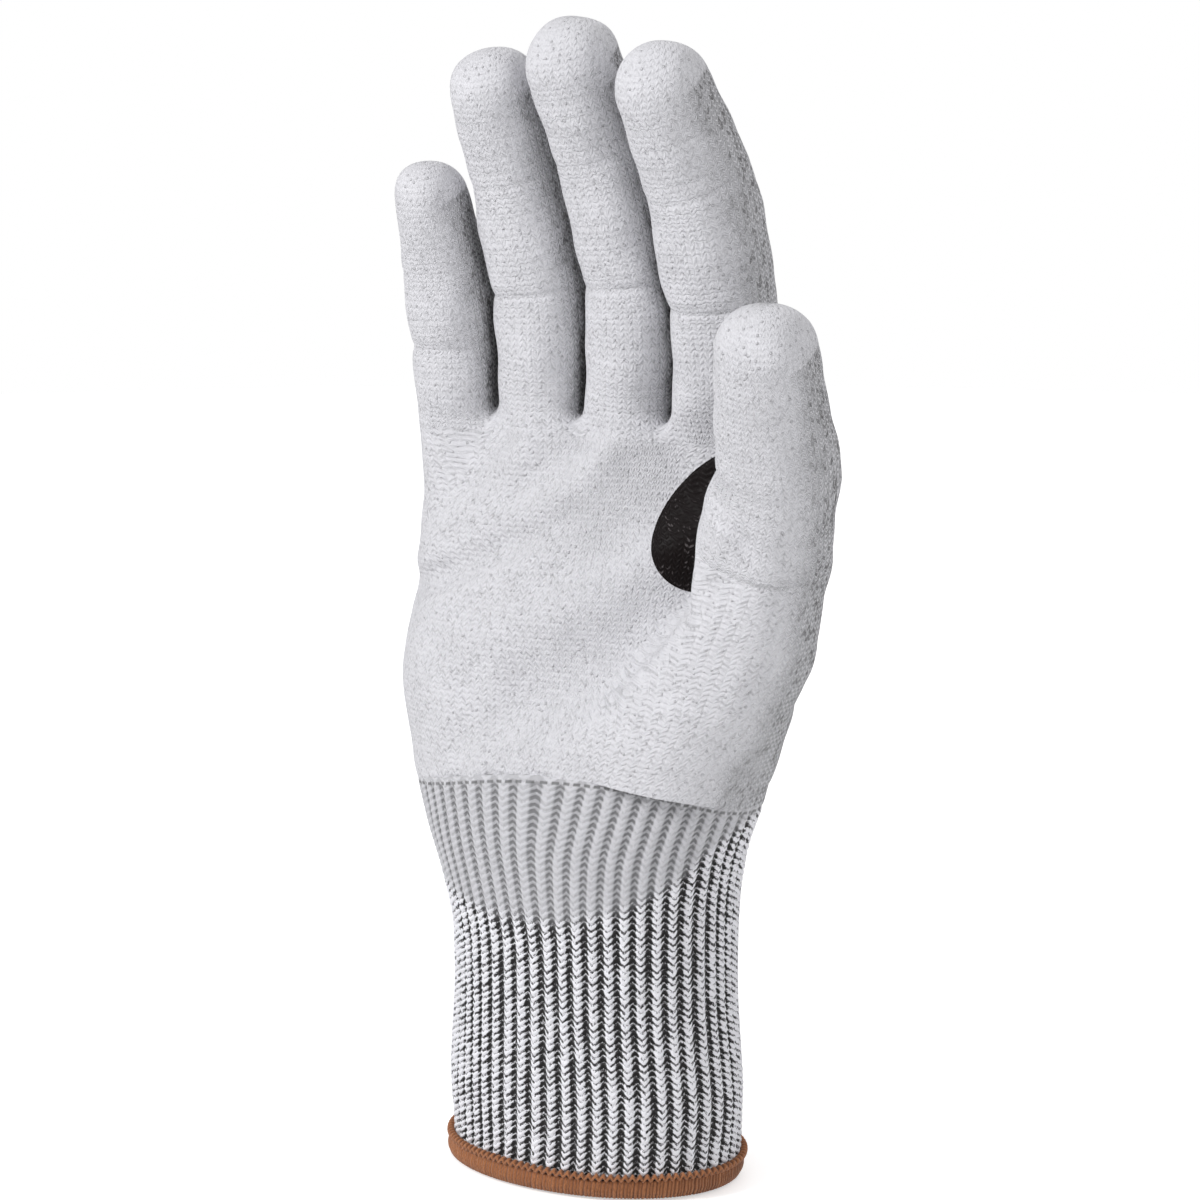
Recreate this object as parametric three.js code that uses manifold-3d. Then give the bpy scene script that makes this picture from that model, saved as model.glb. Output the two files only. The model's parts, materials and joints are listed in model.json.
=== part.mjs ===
// A seamless-knit cut resistant glove, right hand, shaped as when a hand fills it.
// Millimetres. Z = 0 is the hem, +Z runs to the fingertips, the palm faces -Y, the thumb is on +X.
// Every knitted tube has a ball end that turns inside the socket of the tube before it.

import * as THREE from 'three';
import { mergeVertices } from 'three/addons/utils/BufferGeometryUtils.js';
import Module from 'manifold-3d';

const wasm = await Module();
wasm.setup();

// ---- driving dimensions ----

const LINER = 0.8; // thickness of the knitted wall
const COAT = 0.4; // thickness of the dipped coat
const GAP = 0.3; // between two pieces that touch
const TURN_GAP = 0.35; // between a ball and its socket
const SOCKET = TURN_GAP + LINER; // ball radius to socket's outer radius
const COAT_IN = GAP; // liner surface to the coat's inner surface
const COAT_OUT = GAP + COAT; // liner surface to the coat's outer surface

const HEM_HEIGHT = 4.4;
const CHAIN_HEIGHT = 1.4;
const RIB_EDGE = 0.8; // height at which the rib's raw edge sits inside the binding
const DEVIATION_Z = 30; // sideways bend of the wrist
const FLEX_Z = 56; // forward and backward bend of the wrist
const RIB_TOP = 82; // where the rib ends and the plain knit of the palm begins
const WEB_Z = 168; // webs between the fingers

const DEVIATION_RANGE = [-20, 20];
const WRIST_RANGE = [-40, 45];
const BASE_RANGE = [-10, 60];
const MIDDLE_RANGE = [-8, 65];
const TIP_RANGE = [-6, 35];
const THUMB_RANGES = [[-15, 30], [-10, 50]]; // towards the palm is positive here

// a turning tube is clear of its socket's wall from this many degrees above its equator
const FINGER_CLEAR = 13;
const WEB_CLEAR = 10;
const FLEX_CLEAR = 7;
const DEVIATION_CLEAR = 3.5;

// how far the rooms that are cut for turning tubes reach
const FINGER_HALF_ROOM = 20;
const THUMB_HALF_ROOM = 25;
const HAND_ROOM = 30;
const WRIST_ROOM = 60;

const SIDES = 16; // round a finger
const THUMB_SIDES = 24;
const FINE_SIDES = 32; // round the wrist and palm
const ARC_STEP = 15; // degrees between the points of a ball's arc

// ball: liner radius at the pivot; lean: tilt to the side; flex: bend at rest, for each joint
const FINGERS = [
  {
    name: 'little', base: [-33.5, -2, 160], ball: 8.9,
    lean: 0, flex: [4, 8, 8], lengths: [19.5, 17.5, 15.5],
  },
  {
    name: 'ring', base: [-12.5, 1, 167], ball: 9.4,
    lean: -2.5, flex: [5, 9, 8], lengths: [25, 25, 19],
  },
  {
    name: 'middle', base: [8.5, 2, 168], ball: 9.7,
    lean: -2.5, flex: [6, 9, 9], lengths: [26.5, 28.5, 21.5],
  },
  {
    name: 'index', base: [31, 0, 166], ball: 10.1,
    lean: -5, flex: [7, 10, 11], lengths: [25, 26.5, 21.5],
  },
];
const ENTRY = 45; // a ball stays open below this many degrees under its equator
const BALL_STEP = 0.95; // how much smaller each ball is than the one before it

const THUMB = {
  points: [[48, -16, 142], [54.5, -22.5, 159.5], [58, -34.5, 184]],
  balls: [11.8, 10.6],
  tip: 9.2,
  towardsPalm: [-0.6, -0.8, 0],
};
// the ball of the thumb: a tube of the palm that starts here and leads to the thumb's first pivot
const THENAR = { point: [24, -8, 98], radius: 15.5 };

// cross sections of the hand's liner: height, centre, half width, half depth, squareness
const HAND = [
  { z: FLEX_Z, x: 0, y: 0, a: 33, b: 24, n: 2 },
  { z: 70, x: -0.5, y: 0, a: 37, b: 24.2, n: 2.05 },
  { z: RIB_TOP, x: -1, y: 0, a: 40.5, b: 23, n: 2.1 },
  { z: 105, x: -1.5, y: -1, a: 46, b: 20, n: 2.2 },
  { z: 130, x: 0, y: 1, a: 44.5, b: 16.5, n: 2.35 },
  { z: 150, x: 0, y: 1, a: 43.5, b: 14, n: 2.5 },
  { z: WEB_Z, x: -0.5, y: 1, a: 43, b: 12, n: 2.6 },
];
const BAND = [
  { z: DEVIATION_Z, x: 0, y: 0, a: 32.6, b: 24.2, n: 2 },
  { z: FLEX_Z, x: 0, y: 0, a: 33 + SOCKET, b: 24 + SOCKET, n: 2 },
];
const CUFF = [
  { z: RIB_EDGE, x: 0, y: 0, a: 33.4, b: 25.1, n: 2 },
  { z: DEVIATION_Z, x: 0, y: 0, a: 32.6 + SOCKET, b: 24.2 + SOCKET, n: 2 },
];
const HEM = [
  { z: -1, x: 0, y: 0, a: 33.4, b: 25.1, n: 2 },
  { z: DEVIATION_Z, x: 0, y: 0, a: 32.6 + SOCKET, b: 24.2 + SOCKET, n: 2 },
];
const HEM_OUTSIDE = 1.9; // how far the binding stands out of the rib
const HEM_INSIDE = 1.0; // and how far it stands into the cuff
const CHAIN_OUTSIDE = 1.3;
const ELASTIC = { a: 31.1, b: 22.7, yarn: 0.35 };
const CUFF_YARNS = [8.5, 12.5, 16.5]; // heights of the elastic yarns
const BAND_YARNS = [33, 37];

// ---- materials ----

function look(name, color, roughness) {
  return new THREE.MeshStandardMaterial({ name, color, roughness, metalness: 0 });
}
const knit = look('salt and pepper knit', 0x9a9698, 0.85);
const coat = look('grey polyurethane coat', 0xcfcdd2, 0.5);
const nitrile = look('black nitrile patch', 0x1c1818, 0.35);
const brownThread = look('brown overlock thread', 0x815239, 0.8);
const elastic = look('elastic yarn', 0xe6e2da, 0.6);

// ---- solids ----

function solid(geometry) {
  const bare = geometry.clone();
  bare.deleteAttribute('normal');
  bare.deleteAttribute('uv');
  const merged = mergeVertices(bare, 1e-4);
  return new wasm.Manifold(new wasm.Mesh({
    numProp: 3,
    vertProperties: Float32Array.from(merged.attributes.position.array),
    triVerts: Uint32Array.from(merged.index.array),
  }));
}

function join(...solids) {
  return solids.reduce((whole, piece) => whole.add(piece));
}

function cut(body, ...tools) {
  return tools.reduce((rest, tool) => rest.subtract(tool), body);
}

// a cut can leave crumbs, so a piece is its largest body
function mainBody(body) {
  return body.decompose().reduce((best, piece) => (piece.volume() > best.volume() ? piece : best));
}

function mesh(name, body, material) {
  const { vertProperties, triVerts } = mainBody(body).getMesh();
  const geometry = new THREE.BufferGeometry();
  geometry.setAttribute('position', new THREE.BufferAttribute(vertProperties, 3));
  geometry.setIndex(new THREE.BufferAttribute(triVerts, 1));
  geometry.computeVertexNormals();
  const result = new THREE.Mesh(geometry, material);
  result.name = name;
  return result;
}

// a ball whose facets run round the X axis, so that what it holds turns freely about X
function ball(radius, sides = SIDES, z = 0) {
  const sphere = new THREE.SphereGeometry(radius, sides, sides * 0.6);
  return solid(sphere.rotateZ(Math.PI / 2).translate(0, 0, z));
}

// cross sections of the ball end of a wrist tube, from `drop` degrees below its pivot up to it
function ballEnd(section, round, drop) {
  const steps = Math.round(drop / 9);
  return Array.from({ length: steps }, (_, i) => {
    const angle = THREE.MathUtils.degToRad(-drop + (drop * i) / steps);
    const scale = Math.cos(angle);
    return { ...section, z: section.z + round * Math.sin(angle), a: section.a * scale, b: section.b * scale };
  });
}

function cone(bottom, top, z0, z1, sides = SIDES) {
  const tube = new THREE.CylinderGeometry(top, bottom, z1 - z0, sides);
  return solid(tube.rotateX(Math.PI / 2).translate(0, 0, (z0 + z1) / 2));
}

function box(x0, x1, y0, y1, z0, z1) {
  const block = new THREE.BoxGeometry(x1 - x0, y1 - y0, z1 - z0);
  return solid(block.translate((x0 + x1) / 2, (y0 + y1) / 2, (z0 + z1) / 2));
}

// a solid through cross sections: a cylinder whose rows of points move onto superellipses
function loft(sections, grow, sides = FINE_SIDES) {
  const tube = new THREE.CylinderGeometry(1, 1, 1, sides, sections.length - 1).rotateX(Math.PI / 2);
  const place = tube.attributes.position;
  for (let i = 0; i < place.count; i += 1) {
    const section = sections[Math.round((place.getZ(i) + 0.5) * (sections.length - 1))];
    const power = 2 / section.n;
    const x = Math.sign(place.getX(i)) * Math.abs(place.getX(i)) ** power;
    const y = Math.sign(place.getY(i)) * Math.abs(place.getY(i)) ** power;
    place.setXYZ(i, section.x + x * (section.a + grow), section.y + y * (section.b + grow), section.z);
  }
  return solid(tube);
}

function placed(body, matrix) {
  return body.transform(matrix.elements);
}

// The room that a tube needs as it swings about X from `back` to `front` degrees.
// It is drawn in the tube's own frame at rest, as an outline across the hinge.
function swingRoom(radius, [back, front], left, right, reach, clearFrom) {
  const step = radius * Math.tan(THREE.MathUtils.degToRad(clearFrom));
  const corner = (degrees, side, along) => {
    const angle = THREE.MathUtils.degToRad(degrees);
    const y = -Math.sin(angle) * (step + along) + side * Math.cos(angle) * radius;
    const z = Math.cos(angle) * (step + along) + side * Math.sin(angle) * radius;
    return new THREE.Vector2(y, z);
  };
  const outline = [new THREE.Vector2(0, 0), corner(back, 1, 0), corner(back, 1, reach)];
  outline.push(corner((back + front) / 2, 0, reach * 1.5));
  outline.push(corner(front, -1, reach), corner(front, -1, 0));
  const settings = { depth: left + right, bevelEnabled: false };
  const wedge = new THREE.ExtrudeGeometry(new THREE.Shape(outline), settings);
  const turned = new THREE.Matrix4().makeBasis(
    new THREE.Vector3(0, 1, 0), new THREE.Vector3(0, 0, 1), new THREE.Vector3(1, 0, 0));
  return solid(wedge.applyMatrix4(turned).translate(-left, 0, 0));
}

// ---- stalls: one tube for each phalanx, with its coat ----

// points of an arc about (0, z) from one elevation to another, in degrees
function arc(radius, z, from, to) {
  const steps = Math.max(1, Math.round(Math.abs(to - from) / ARC_STEP));
  return Array.from({ length: steps + 1 }, (_, i) => {
    const angle = THREE.MathUtils.degToRad(from + ((to - from) * i) / steps);
    return new THREE.Vector2(radius * Math.cos(angle), z + radius * Math.sin(angle));
  });
}

function turned(profile, sides) {
  return solid(new THREE.LatheGeometry(profile, sides).rotateX(Math.PI / 2));
}

// One tube from its own ball at the origin to the next ball, or to a closed tip, along +Z.
// entry is the elevation, below the ball's equator, at which the ball stays open.
function stallSegment({ radius, length, nextRadius, tip, entry, sides }) {
  const end = tip ? nextRadius : nextRadius + SOCKET;
  const hollowEnd = tip ? nextRadius - LINER : nextRadius + TURN_GAP;
  const top = tip ? 90 : 60;
  const profile = [
    ...arc(radius, 0, -entry, 0), ...arc(end, length, 0, top),
    ...arc(hollowEnd, length, top, 0), ...arc(radius - LINER, 0, 0, -entry),
  ];
  const liner = turned([...profile, profile[0].clone()], sides);

  const start = (radius + COAT_OUT) * 0.3;
  const foot = (grow) => new THREE.Vector2(radius + grow + ((end - radius) * start) / length, start);
  const skin = [
    foot(COAT_OUT),
    ...arc(end + COAT_OUT, length, 0, top),
    ...arc(end + COAT_IN, length, top, 0),
    foot(COAT_IN),
  ];
  const side = box(-40, 40, -40, radius * 0.25, 0, length + 40);
  const front = tip ? join(side, box(-40, 40, -40, 40, length, length + 40)) : side;
  return { liner, coat: turned([...skin, skin[0].clone()], sides).intersect(front) };
}

function addSegment(parent, name, part, rooms) {
  parent.add(mesh(`${name}_liner`, cut(part.liner, ...rooms), knit));
  parent.add(mesh(`${name}_coat`, cut(part.coat, ...rooms), coat));
}

const FINGER_PARTS = ['base', 'middle', 'tip'];
const THUMB_PARTS = ['base', 'tip'];

function finger({ name, base, ball: radius, lean, flex, lengths }) {
  const ranges = [BASE_RANGE, MIDDLE_RANGE, TIP_RANGE];
  const root = new THREE.Group();
  root.position.set(...base);
  root.rotation.set(THREE.MathUtils.degToRad(flex[0]), THREE.MathUtils.degToRad(lean), 0, 'YXZ');
  let group = root;
  lengths.forEach((length, i) => {
    const own = radius - i * BALL_STEP;
    const tip = i === lengths.length - 1;
    const nextRadius = tip ? own : own - BALL_STEP;
    const part = stallSegment({ radius: own, length, nextRadius, tip, entry: ENTRY, sides: SIDES });
    const next = new THREE.Group();
    const rooms = [];
    if (!tip) {
      next.position.set(0, 0, length);
      next.rotation.x = THREE.MathUtils.degToRad(flex[i + 1]);
      next.updateMatrix();
      const clear = nextRadius + COAT_OUT + TURN_GAP;
      const room = swingRoom(
        clear, ranges[i + 1], FINGER_HALF_ROOM, FINGER_HALF_ROOM, HAND_ROOM, FINGER_CLEAR);
      rooms.push(placed(room, next.matrix));
    }
    addSegment(group, `${name}_${FINGER_PARTS[i]}`, part, rooms);
    if (!tip) group.add(next);
    group = next;
  });
  root.updateMatrix();
  return root;
}

// a frame at `point` with +Z to `target` and -Y towards the palm
function frameAt(point, target) {
  const z = new THREE.Vector3(...target).sub(new THREE.Vector3(...point)).normalize();
  const palmward = new THREE.Vector3(...THUMB.towardsPalm);
  const y = palmward.addScaledVector(z, -palmward.dot(z)).normalize().negate();
  const x = new THREE.Vector3().crossVectors(y, z);
  return new THREE.Matrix4().makeBasis(x, y, z).setPosition(...point);
}

const thumbFrames = THUMB.balls.map((_, i) => frameAt(THUMB.points[i], THUMB.points[i + 1]));
const thumbLength = (i) => new THREE.Vector3(...THUMB.points[i])
  .distanceTo(new THREE.Vector3(...THUMB.points[i + 1]));

function groupAt(matrix) {
  const group = new THREE.Group();
  matrix.decompose(group.position, group.quaternion, group.scale);
  group.updateMatrix();
  return group;
}

function thumb() {
  const groups = thumbFrames.map((frame, i) => groupAt(
    i === 0 ? frame : thumbFrames[i - 1].clone().invert().multiply(frame)));
  groups.forEach((group, i) => {
    const tip = i === groups.length - 1;
    const nextRadius = tip ? THUMB.tip : THUMB.balls[i + 1];
    const length = thumbLength(i);
    const part = stallSegment({
      radius: THUMB.balls[i], length, nextRadius, tip, entry: ENTRY, sides: THUMB_SIDES,
    });
    const rooms = [];
    if (!tip) {
      const clear = nextRadius + COAT_OUT + TURN_GAP;
      const room = swingRoom(
        clear, THUMB_RANGES[i + 1], THUMB_HALF_ROOM, THUMB_HALF_ROOM, HAND_ROOM, FINGER_CLEAR);
      rooms.push(placed(room, groups[i + 1].matrix));
      group.add(groups[i + 1]);
    }
    addSegment(group, `thumb_${THUMB_PARTS[i]}`, part, rooms);
  });
  return groups[0];
}

// ---- hand: the palm with its sockets, its coat and the crotch patch ----

const fingerFrames = FINGERS.map(({ base, lean, flex }) => new THREE.Matrix4()
  .makeRotationFromEuler(new THREE.Euler(
    THREE.MathUtils.degToRad(flex[0]), THREE.MathUtils.degToRad(lean), 0, 'YXZ'))
  .setPosition(...base));

// the ball of the thumb with the socket at its end, `grow` larger than the tube that turns in it
function thenar(grow, socket) {
  const frame = frameAt(THENAR.point, THUMB.points[0]);
  const length = new THREE.Vector3(...THENAR.point).distanceTo(new THREE.Vector3(...THUMB.points[0]));
  const end = THUMB.balls[0] + socket;
  const tube = join(ball(THENAR.radius + grow, THUMB_SIDES), cone(THENAR.radius + grow, end, 0, length,
    THUMB_SIDES));
  return join(placed(tube, frame), placed(ball(end, THUMB_SIDES), thumbFrames[0]));
}

function sockets(grow) {
  return fingerFrames.map((frame, i) => placed(ball(FINGERS[i].ball + grow), frame));
}

function handShell(grow) {
  return join(loft(HAND, grow), thenar(grow, SOCKET + grow), ...sockets(SOCKET + grow));
}

function handHollow() {
  const inner = HAND.map((section) => ({ ...section, z: Math.min(section.z, WEB_Z - 5) }));
  return join(loft(inner, -LINER), thenar(-LINER, TURN_GAP), ...sockets(TURN_GAP));
}

// each finger's room reaches half way to its neighbours
function fingerRooms() {
  return FINGERS.map(({ base, ball: radius }, i) => {
    const halfWay = (other) => Math.abs(other.base[0] - base[0]) / 2 + GAP;
    const left = i === 0 ? HAND_ROOM : halfWay(FINGERS[i - 1]);
    const right = i === FINGERS.length - 1 ? HAND_ROOM : halfWay(FINGERS[i + 1]);
    const clear = radius + COAT_OUT + TURN_GAP;
    const room = swingRoom(clear, BASE_RANGE, left, right, HAND_ROOM, WEB_CLEAR);
    return placed(room, fingerFrames[i]);
  });
}

function hand() {
  const group = new THREE.Group();
  const thumbClear = THUMB.balls[0] + COAT_OUT + TURN_GAP;
  const thumbRoom = swingRoom(
    thumbClear, THUMB_RANGES[0], thumbClear, thumbClear, HAND_ROOM, FINGER_CLEAR);
  const rooms = [placed(thumbRoom, thumbFrames[0]), ...fingerRooms()];
  const ribSections = [...ballEnd(HAND[0], HAND[0].b, 45), ...HAND.slice(0, 3)];
  const ribWall = ring(ribSections, 0, LINER, 0, RIB_TOP - GAP / 2);
  const wall = cut(handShell(0), handHollow(), ...rooms);
  const palmWall = wall.intersect(box(-90, 90, -60, 60, RIB_TOP + GAP / 2, 250));
  group.add(mesh('rib_upper', cut(ribWall, thenar(COAT_OUT + GAP, SOCKET)), knit));
  group.add(mesh('palm_liner', palmWall, knit));

  const skin = cut(handShell(COAT_OUT), handShell(COAT_IN), ...rooms);
  const tailStart = FLEX_Z + 5.5;
  const tail = box(-90, 90, -60, -6, tailStart, RIB_TOP - GAP / 2);
  const front = box(-90, 90, -60, 3, RIB_TOP + GAP / 2, WEB_Z - 1);
  group.add(mesh('coat_tail', skin.intersect(tail), coat));

  const patchArea = new THREE.SphereGeometry(1, 32, 20).scale(22, 26, 15).translate(42, -6, 142);
  const patchOut = COAT_OUT + GAP + 0.7;
  const patchShell = cut(loft(HAND, patchOut), handShell(COAT_OUT + GAP), ...rooms);
  group.add(mesh('palm_coat', skin.intersect(front), coat));
  group.add(mesh('crotch_patch', patchShell.intersect(solid(patchArea)), nitrile));
  return group;
}

// ---- wrist and cuff ----

function ring(sections, grow, wall, z0, z1) {
  const tube = cut(loft(sections, grow), loft(sections, grow - wall));
  return tube.intersect(box(-60, 60, -60, 60, z0, z1));
}

// a closed ring of round yarn: a torus stretched to the cuff's ellipse
function elasticRing(name, z) {
  const torus = new THREE.TorusGeometry(ELASTIC.a, ELASTIC.yarn, 5, 24);
  torus.scale(1, ELASTIC.b / ELASTIC.a, 1).translate(0, 0, z);
  return mesh(name, solid(torus), elastic);
}

function wristBand() {
  const group = new THREE.Group();
  const sections = [...ballEnd(BAND[0], BAND[0].a, 27), ...BAND];
  const clear = HAND[0].b + COAT_OUT + 0.5;
  const room = placed(
    swingRoom(clear, WRIST_RANGE, WRIST_ROOM, WRIST_ROOM, WRIST_ROOM, FLEX_CLEAR),
    new THREE.Matrix4().makeTranslation(0, 0, FLEX_Z));
  group.add(mesh('rib_wrist', cut(ring(sections, 0, LINER, 0, FLEX_Z), room), knit));
  BAND_YARNS.forEach((z, i) => group.add(elasticRing(`elastic_yarn_${i + 4}`, z)));
  return group;
}

function cuff() {
  const group = new THREE.Group();
  const clear = BAND[1].a + SOCKET + 0.5;
  const aboutY = new THREE.Matrix4().makeRotationZ(Math.PI / 2).setPosition(0, 0, DEVIATION_Z);
  const room = placed(
    swingRoom(clear, DEVIATION_RANGE, WRIST_ROOM, WRIST_ROOM, WRIST_ROOM, DEVIATION_CLEAR), aboutY);
  group.add(mesh('rib_cuff', cut(ring(CUFF, 0, LINER, RIB_EDGE, DEVIATION_Z), room), knit));

  const inset = LINER + HEM_INSIDE; // from the rib's outer surface to the hem's inner surface
  const hemBlock = ring(HEM, HEM_OUTSIDE, HEM_OUTSIDE + inset, 0, HEM_HEIGHT);
  const ribSlot = ring(HEM, GAP, LINER + 2 * GAP, RIB_EDGE - GAP, 2 * HEM_HEIGHT);
  group.add(mesh('hem_binding', cut(hemBlock, ribSlot), brownThread));
  const chainFoot = HEM_HEIGHT + GAP;
  const chain = ring(HEM, CHAIN_OUTSIDE, CHAIN_OUTSIDE - GAP, chainFoot, chainFoot + CHAIN_HEIGHT);
  group.add(mesh('hem_chain', chain, brownThread));
  CUFF_YARNS.forEach((z, i) => group.add(elasticRing(`elastic_yarn_${i + 1}`, z)));
  return group;
}

// ---- the glove ----

const glove = new THREE.Group();
glove.add(cuff(), wristBand(), hand(), thumb(), ...FINGERS.map(finger));

export default glove;
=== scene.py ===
"""A cut resistant knitted glove, right hand, palm towards -Y, fingers up, filled as if worn."""

import json
import math

import bpy
import numpy as np
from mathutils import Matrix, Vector


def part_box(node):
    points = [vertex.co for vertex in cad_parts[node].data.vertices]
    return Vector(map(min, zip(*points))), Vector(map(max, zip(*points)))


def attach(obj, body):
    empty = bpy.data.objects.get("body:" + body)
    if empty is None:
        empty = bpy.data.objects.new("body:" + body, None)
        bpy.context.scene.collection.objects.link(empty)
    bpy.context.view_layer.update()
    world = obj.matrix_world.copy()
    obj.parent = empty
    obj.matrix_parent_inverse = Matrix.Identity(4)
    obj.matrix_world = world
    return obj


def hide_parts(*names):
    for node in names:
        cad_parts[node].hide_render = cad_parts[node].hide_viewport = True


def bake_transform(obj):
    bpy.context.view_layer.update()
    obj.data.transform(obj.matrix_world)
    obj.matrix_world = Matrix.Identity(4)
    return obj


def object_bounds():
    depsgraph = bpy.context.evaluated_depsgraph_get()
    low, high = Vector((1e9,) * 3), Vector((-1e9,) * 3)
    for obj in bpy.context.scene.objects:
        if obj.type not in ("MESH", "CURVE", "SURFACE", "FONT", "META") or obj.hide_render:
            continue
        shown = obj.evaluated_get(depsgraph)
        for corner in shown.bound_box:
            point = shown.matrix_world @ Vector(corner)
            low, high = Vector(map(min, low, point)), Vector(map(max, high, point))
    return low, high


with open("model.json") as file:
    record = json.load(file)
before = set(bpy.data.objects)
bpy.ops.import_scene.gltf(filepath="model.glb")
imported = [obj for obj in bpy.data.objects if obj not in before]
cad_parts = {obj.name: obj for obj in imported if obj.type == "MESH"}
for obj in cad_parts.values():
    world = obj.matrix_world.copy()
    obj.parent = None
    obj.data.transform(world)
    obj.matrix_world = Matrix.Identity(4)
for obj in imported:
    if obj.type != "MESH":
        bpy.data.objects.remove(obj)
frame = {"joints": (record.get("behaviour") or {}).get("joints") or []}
cad_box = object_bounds()

MM = 0.001
JOINTS = {j["name"]: j for j in frame["joints"]}
FINGERS = ["little", "ring", "middle", "index"]


def unit(v):
    v = np.asarray(v, float)
    return v / np.linalg.norm(v)


def hinge(name):
    return np.array(JOINTS[name]["pos_m"], float) / MM


def turned(v, axis, degrees):
    """v turned about a unit axis."""
    a = math.radians(degrees)
    return v * math.cos(a) + np.cross(axis, v) * math.sin(a) + axis * (axis @ v) * (1 - math.cos(a))


def smoothstep(low, high, x):
    t = np.clip((x - low) / (high - low), 0, 1)
    return t * t * (3 - 2 * t)


def top_of(node):
    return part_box(node)[1].z / MM


# ---------- centrelines of the stalls, in mm

# how far each tip curls towards the palm, and the radii along the stall:
# root, first hinge, mid phalanx, second hinge, mid phalanx, third hinge, tip
TIP_CURL = {"little": 8, "ring": 8, "middle": 9, "index": 11}
RADII = {
    "little": [7.0, 7.8, 9.6, 9.8, 9.5, 8.7, 7.7],
    "ring": [10.0, 10.4, 10.7, 10.6, 10.4, 9.7, 9.1],
    "middle": [10.4, 10.8, 10.8, 10.5, 10.3, 10.0, 9.6],
    "index": [11.2, 11.5, 10.9, 11.2, 11.4, 10.8, 9.3],
}
# how far each stall's middle lies from the straight line of its hinges, at its last five points
SHIFTS = {
    "little": [(0.9, 0, 0), (0.9, 0, 0), (0.5, 0, 0), (0.2, 0, 0), (0.1, 0, -0.8)],
    "ring": [(1.0, 0, 0), (1.1, 0, 0), (0.3, 0, 0), (-0.5, 0, 0), (-0.9, 0, 0)],
    "middle": [(1.9, 0, 0), (2.1, 0, 0), (1.2, 0, 0), (0, 0, 0), (-1.2, 0, -1.6)],
    "index": [(1.8, 0.3, 0), (2.3, 0.7, 0), (2.7, 0.9, 0), (2.7, 0.7, 0), (2.0, 0.2, 0)],
}
ROOT_DEPTH = 26
THUMB_TIP = unit((3.5, -12, 24.5))
# radii at the thumb's heel and ball, two points below its first hinge, that hinge, mid phalanx, second
# hinge, mid phalanx and tip; THUMB_BELOW is how far the first four lie from the first hinge
THUMB_RADII = [16.5, 17.8, 15.0, 13.6, 13.5, 12.8, 12.1, 11.0, 9.9]
THUMB_BELOW = [(-28, 10, -52), (-24, 8, -43), (-7.2, 3.6, -20), (-2, 0.9, -7)]


def finger_line(name):
    """Points and radii along a finger stall, from inside the palm to the tip."""
    h = [hinge(f"{name}_{s}_bend") for s in ("base", "middle", "tip")]
    axis = unit(JOINTS[f"{name}_tip_bend"]["axis"])
    tip_way = turned(unit(h[2] - h[1]), axis, TIP_CURL[name])
    radius = RADII[name]
    reach = (top_of(f"{name}_tip_coat") - radius[-1] - h[2][2]) / tip_way[2]
    tip = h[2] + tip_way * reach
    root = h[0] - np.array([0, 0, ROOT_DEPTH])
    points = np.array([root, h[0], (h[0] + h[1]) / 2, h[1], (h[1] + h[2]) / 2, h[2], tip])
    points[2:] += SHIFTS[name]
    return points, np.array(radius)


def thumb_line():
    base, knuckle = hinge("thumb_base_extend"), hinge("thumb_tip_extend")
    reach = (top_of("thumb_tip_coat") - THUMB_RADII[-1] - knuckle[2]) / THUMB_TIP[2]
    tip = knuckle + THUMB_TIP * reach
    points = [base + off for off in THUMB_BELOW]
    points += [base, (base + knuckle) / 2, knuckle, (knuckle + tip) / 2, tip]
    return np.array(points), np.array(THUMB_RADII)


def smooth_line(points, radii, per_span=5):
    """The same line with per_span points to a span, rounded by a Catmull-Rom curve."""
    full = np.column_stack([points, radii])
    full = np.vstack([2 * full[0] - full[1], full, 2 * full[-1] - full[-2]])
    made = []
    for i in range(1, len(full) - 2):
        a, b, c, d = full[i - 1:i + 3]
        for t in np.arange(per_span) / per_span:
            made.append(0.5 * (2 * b + (c - a) * t + (2 * a - 5 * b + 4 * c - d) * t ** 2
                               + (3 * b - a - 3 * c + d) * t ** 3))
    made.append(full[-2])
    return np.array(made)


# a finger stall is narrower across than it is deep, so that neighbours don't touch
FINGER_WIDE, FINGER_DEEP = 0.945, 1.06
# 2 would be a true ellipse; above it the stall's front is flatter and its sides turn away faster
ROUNDNESS = 2.3


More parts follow.
